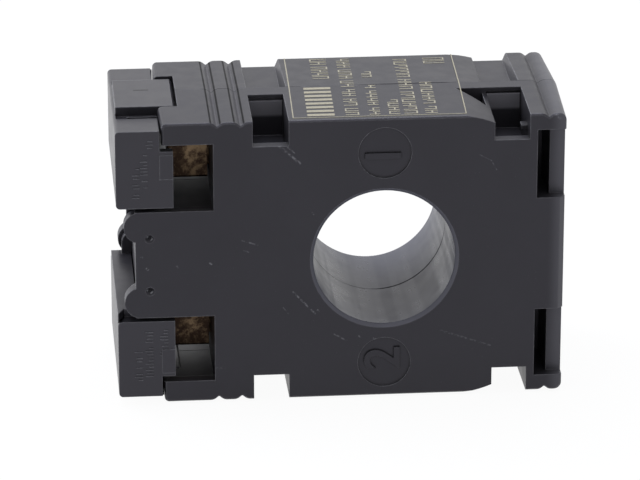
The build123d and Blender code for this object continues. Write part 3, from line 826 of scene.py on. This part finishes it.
def make_mesh(name, build, material):
    """A mesh made by a function that fills a bmesh."""
    shape = bmesh.new()
    build(shape)
    bmesh.ops.recalc_face_normals(shape, faces=shape.faces)
    mesh = bpy.data.meshes.new(name)
    shape.to_mesh(mesh)
    shape.free()
    mesh.materials.append(material)
    return mesh


def mesh_piece(name, build, material, body):
    """A piece made by a function that fills a bmesh."""
    link_piece(name, make_mesh(name, build, material), body)


# %% A strip of print
# The whole print leans towards the foot at the rear, because it was pressed on askew
print_lean = 0.027
ink_lift = 0.02 * MM
ink_thick = 0.03 * MM


def printed_strip(shape, x0, x1, y0, y1):
    """A thin slab on the narrow side, between two places along X and two along Y."""
    stations = [y0, y1]
    if y0 < 0 < y1:
        stations.insert(1, 0.0)
    rows = []
    for y in stations:
        base = top_height(y * MM)
        rows.append(
            [
                shape.verts.new(((x + print_lean * y) * MM, y * MM, base + lift))
                for x, lift in (
                    (x0, -ink_lift),
                    (x1, -ink_lift),
                    (x1, ink_thick),
                    (x0, ink_thick),
                )
            ]
        )
    for near, far in zip(rows, rows[1:]):
        for i in range(4):
            j = (i + 1) % 4
            shape.faces.new((near[i], near[j], far[j], far[i]))
    shape.faces.new(rows[0])
    shape.faces.new(rows[-1])


# %% Frame of the field
# Two lines run back from the front line to the rear edge
frame_left, frame_right = -13.0, 12.3
frame_front, frame_rear = -12.9, 13.9
frame_line = 0.16
case_body = "case"


def printed_frame(shape):
    """Outline of the data field, open at the rear."""
    for x in (frame_left, frame_right):
        printed_strip(shape, x - frame_line / 2, x + frame_line / 2, frame_front, frame_rear)
    printed_strip(shape, frame_left, frame_right, frame_front - frame_line, frame_front)


mesh_piece("printed_frame", printed_frame, ink, case_body)

# %% Columns of signs
random.seed(7)
# Columns as (left, right, front, rear)
print_columns = [
    (-9.3, -6.8, 3.4, 13.4),
    (-5.3, -3.3, -12.4, 13.2),
    (-1.8, -0.2, -12.4, 0.6),
    (-1.9, -0.4, 3.6, 7.2),
    (1.1, 2.7, -12.4, -4.4),
    (3.3, 5.3, -12.4, 13.2),
    (6.4, 8.2, -12.4, 0.6),
    (7.8, 11.0, 9.6, 13.0),
]
stroke = 0.22
sign_depth = 1.15
sign_gap = 0.4


def printed_column(shape, left, right, front, rear):
    """Column of plain signs: two strokes across it and one between them."""
    y = front
    while y + sign_depth <= rear:
        for _ in range(random.randint(2, 6)):
            if y + sign_depth > rear:
                break
            far = y + sign_depth - stroke
            inset = random.choice((0.0, 0.0, 0.35)) * (right - left)
            printed_strip(shape, left, right, y, y + stroke)
            printed_strip(shape, left + inset, right, far, far + stroke)
            link = random.choice((left + inset, right - stroke, (left + right) / 2))
            printed_strip(shape, link, link + stroke, y + stroke, far)
            y += sign_depth + sign_gap
        y += 2 * sign_gap


def printed_columns(shape):
    """All columns of signs."""
    for column in print_columns:
        printed_column(shape, *column)


mesh_piece("printed_bars", printed_columns, ink, case_body)

# %% Ladder of bars
ladder_left, ladder_right = -10.9, -6.9
ladder_front, ladder_rear = -12.4, 0.0
rung_count = 8
rung_share = 0.55


def printed_block(shape):
    """Plain ladder of equal bars at an even pitch."""
    pitch = (ladder_rear - ladder_front) / rung_count
    for number in range(rung_count):
        front = ladder_front + number * pitch
        printed_strip(shape, ladder_left, ladder_right, front, front + rung_share * pitch)


mesh_piece("printed_block", printed_block, ink, case_body)

# %% [markdown]
# ## Raised numerals
#
# Plain numerals stand in the two sunk discs, with their tops towards the terminals. They could be
# drawn point by point. Blender's text object, drawn out and given a small bevel, makes them from
# a few numbers, and is then turned into a mesh that rides on the case.

# %% Numerals in the discs
# Middles of the two numerals along Z, a little off the middles of their discs
numeral_middles = {"1": 16.0 * MM, "2": -15.9 * MM}
numeral_height = 5.2 * MM
numeral_bold = 0.08 * MM
numeral_edge = 0.03 * MM
disc_depth = 0.3 * MM
# A numeral's height as a share of the font's size
capital_share = 0.7
numeral_plastic = moulded_plastic("numeral plastic", 0.016, 3.2, 0.36, edge_light_and_wear=0.0)


def raised_numeral(text, z):
    """A numeral that stands up from the floor of a sunk disc."""
    curve = bpy.data.curves.new("numeral_" + text, "FONT")
    curve.body = text
    curve.size = numeral_height / capital_share
    curve.align_x = "CENTER"
    curve.align_y = "CENTER"
    curve.extrude = disc_depth / 2
    curve.offset = numeral_bold
    curve.bevel_depth = numeral_edge
    curve.resolution_u = 4
    maker = bpy.data.objects.new("numeral_maker", curve)
    bpy.context.scene.collection.objects.link(maker)
    bpy.context.view_layer.update()
    mesh = bpy.data.meshes.new_from_object(
        maker.evaluated_get(bpy.context.evaluated_depsgraph_get())
    )
    bpy.data.objects.remove(maker)
    # Text lies in XY: stand it on the front face, then turn its top towards -X
    stand = Matrix.Rotation(math.radians(90), 4, "X")
    turn = Matrix.Rotation(math.radians(-90), 4, "Y")
    middle = Vector((0, case_front_y + disc_depth / 2, z))
    mesh.transform(Matrix.Translation(middle) @ turn @ stand)
    mesh.materials.clear()
    mesh.materials.append(numeral_plastic)
    link_piece("raised_numeral_" + text, mesh, case_body)


for text, z in numeral_middles.items():
    raised_numeral(text, z)

# %% [markdown]
# ## Low bars on the covers
#
# Short low bars stand in columns on the front face of each cover. A bump in the plastic could
# draw them, but it has no edge that catches the light. Small boxes, half sunk in the cover, have.

# %% Boxes
def add_box(shape, low, high):
    """Add a box between two corners, in metres."""
    place = Matrix.Translation((low + high) / 2) @ Matrix.Diagonal((*(high - low), 1))
    bmesh.ops.create_cube(shape, size=1.0, matrix=place)


# %% Columns of bars
bar_proud = 0.07
bar_tall = 0.16
bar_pitch = 0.5
# Columns on each cover, as (left, right, bottom, top)
upper_bar_columns = [
    (-37.0, -35.9, 10.6, 15.4),
    (-35.8, -34.7, 12.2, 17.6),
    (-34.9, -33.9, 18.3, 19.5),
]
lower_bar_columns = [
    (-37.0, -35.8, -18.2, -13.2),
    (-35.4, -34.2, -17.6, -10.4),
    (-33.2, -32.0, -15.8, -10.2),
]


def low_bars(columns):
    """A function that builds short raised bars in columns on the front face."""

    def build(shape):
        for left, right, bottom, top in columns:
            z = bottom
            while z < top:
                inset = random.choice((0.0, 0.2, 0.45)) * (right - left)
                low = Vector((left + inset, front_mm - bar_proud, z - bar_tall / 2))
                high = Vector((right, front_mm + bar_proud, z + bar_tall / 2))
                add_box(shape, low * MM, high * MM)
                z += bar_pitch * random.choice((1, 1, 1, 2))

    return build


mesh_piece("upper_cover_bars", low_bars(upper_bar_columns), cover_plastic, "upper_cover")
mesh_piece("lower_cover_bars", low_bars(lower_bar_columns), cover_plastic, "lower_cover")

# %% [markdown]
# ## Stop ribs
#
# The gap between the end of a cover and the lug is dark on the real part. A longer cover would
# close it, and change the solid. A thin rib on the end of the cover closes the line of sight, and
# rides along when the cover opens.

# %% Ribs on the ends of the covers
rib_left, rib_right = -32.95, -32.72
# Ribs on each cover, as (front, rear, bottom, top)
upper_ribs = [(13.3, 13.8, 17.7, 20.8)]
lower_ribs = [(-13.8, -6.9, -20.8, -20.4), (6.9, 13.8, -20.8, -20.4)]


def stop_ribs(ribs):
    """A function that builds the ribs on the end of a cover."""

    def build(shape):
        for front, rear, bottom, top in ribs:
            low = Vector((rib_left, front, bottom))
            high = Vector((rib_right, rear, top))
            add_box(shape, low * MM, high * MM)

    return build


mesh_piece("upper_cover_ribs", stop_ribs(upper_ribs), cover_plastic, "upper_cover")
mesh_piece("lower_cover_ribs", stop_ribs(lower_ribs), cover_plastic, "lower_cover")

# %% [markdown]
# ## Mark on the tongue
#
# A short dark line lies on the top of the upper cover's tongue. A mask in the plastic could paint
# it. A thin box of its own keeps its ends sharp, and its dark ink is made like the gold one.

# %% The dark line
tongue_mark_left, tongue_mark_right = -36.0, -33.8
tongue_mark_front, tongue_mark_rear = 1.25, 1.55
tongue_mark_proud = 0.02
tongue_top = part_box("upper_terminal_cover")[1].z / MM


def tongue_mark(shape):
    """The dark line, half sunk into the tongue."""
    low = Vector((tongue_mark_left, tongue_mark_front, tongue_top - tongue_mark_proud))
    high = Vector((tongue_mark_right, tongue_mark_rear, tongue_top + tongue_mark_proud))
    add_box(shape, low * MM, high * MM)


dark_ink = printed_ink("dark mark", (0.004, 0.004, 0.004), (0.02, 0.02, 0.02))
mesh_piece("tongue_mark", tongue_mark, dark_ink, "upper_cover")

# %% [markdown]
# ## Floor and surroundings
#
# The part stands on a white sheet with nothing behind it. A sheet and a world that are bright
# enough for that white would also drown the part's soft shadow. So both are white to the eye and
# dim as lights: the Light Path node tells the two kinds of ray apart.

# %% Rays that are seen
white = (1, 1, 1, 1)


def seen_directly(tree):
    """1 for rays that show a surface to the eye: camera, glossy and transmission rays."""
    path = add(tree, "ShaderNodeLightPath").outputs
    mirrored = math_node(tree, "MAXIMUM", path["Is Glossy Ray"], path["Is Transmission Ray"])
    return math_node(tree, "MAXIMUM", path["Is Camera Ray"], mirrored)


# %% The floor
floor_size = 3.0
floor_white = 0.95


def make_floor():
    """Pale floor under the part, white to the camera, with the part's soft shadow."""
    material, tree, shader = new_material("pale floor")
    shader.inputs["Base Color"].default_value = (0.8, 0.8, 0.8, 1)
    shader.inputs["Roughness"].default_value = 0.9
    glow = add(tree, "ShaderNodeEmission", {"Color": white, "Strength": 1.0})
    share = product(tree, seen_directly(tree), floor_white)
    mixed = add(
        tree,
        "ShaderNodeMixShader",
        {0: share, 1: shader.outputs[0], 2: glow.outputs[0]},
    )
    output = next(node for node in tree.nodes if node.type == "OUTPUT_MATERIAL")
    tree.links.new(mixed.outputs[0], output.inputs["Surface"])

    def sheet(shape):
        bmesh.ops.create_grid(shape, x_segments=1, y_segments=1, size=floor_size)
        bmesh.ops.translate(shape, vec=(0, 0, cad_box[0].z), verts=shape.verts)

    floor = bpy.data.objects.new("floor", make_mesh("floor", sheet, material))
    bpy.context.scene.collection.objects.link(floor)


make_floor()
print("floor at", round(cad_box[0].z / MM, 2), "mm")


# %% The world
def make_world():
    """Plain world light, white where it is seen."""
    world = bpy.data.worlds.new("studio")
    bpy.context.scene.world = world
    world.use_nodes = True
    tree = world.node_tree
    tree.nodes.clear()
    dim = add(tree, "ShaderNodeBackground", {"Color": (0.95, 0.96, 1, 1), "Strength": 0.6})
    bright = add(tree, "ShaderNodeBackground", {"Color": white, "Strength": 1.0})
    mixed = add(
        tree,
        "ShaderNodeMixShader",
        {0: seen_directly(tree), 1: dim.outputs[0], 2: bright.outputs[0]},
    )
    add(tree, "ShaderNodeOutputWorld", {"Surface": mixed.outputs[0]})


make_world()
print("world:", bpy.context.scene.world.name)

# %% [markdown]
# ## Two soft boxes
#
# The part was lit softly, from above and from the left. A sun or a spot would give hard shadows
# and small hard glints. Two large square lamps give broad ones.

# %% Lamps
soft_box_size = 0.5
soft_box_colour = (0.87, 0.9, 1.0)


def soft_box(name, place, power):
    """Square area lamp aimed at the middle of the part."""
    data = bpy.data.lights.new(name, "AREA")
    data.shape = "SQUARE"
    data.size = soft_box_size
    data.energy = power
    data.color = soft_box_colour
    lamp = bpy.data.objects.new(name, data)
    lamp.location = place
    lamp.rotation_mode = "QUATERNION"
    lamp.rotation_quaternion = (-Vector(place)).to_track_quat("-Z", "Y")
    bpy.context.scene.collection.objects.link(lamp)
    print(name, "gives", power, "watts")


soft_box("top_box", (-0.05, 0.15, 0.55), 3.7)
soft_box("left_box", (-0.6, 0.25, 0.25), 4.6)

# %% [markdown]
# ## Camera
#
# The picture was taken from a little to the left and above, with a long lens. The camera could be
# set by eye. It was worked out from the ellipse that the bore's rim makes in the photograph, so
# that edges of the part fall on the same pixels.

# %% The photograph's camera
camera_place = Vector((-0.0586, -0.5995, 0.2316))
camera_azimuth = math.radians(4.79)
camera_elevation = math.radians(21.245)
focal_px = 4296.8
image_width_px = 640
sensor_width_mm = 36.0

back = Vector(
    (
        -math.sin(camera_azimuth) * math.cos(camera_elevation),
        -math.cos(camera_azimuth) * math.cos(camera_elevation),
        math.sin(camera_elevation),
    )
)
camera_data = bpy.data.cameras.new("camera")
camera_data.sensor_width = sensor_width_mm
camera_data.lens = focal_px / image_width_px * sensor_width_mm
camera_data.clip_start = 0.01
camera = bpy.data.objects.new("camera", camera_data)
camera.location = camera_place
camera.rotation_mode = "QUATERNION"
camera.rotation_quaternion = (-back).to_track_quat("-Z", "Y")
bpy.context.scene.collection.objects.link(camera)
bpy.context.scene.camera = camera
bpy.context.scene.view_settings.view_transform = "Standard"
print("focal length:", round(camera_data.lens, 1), "mm")
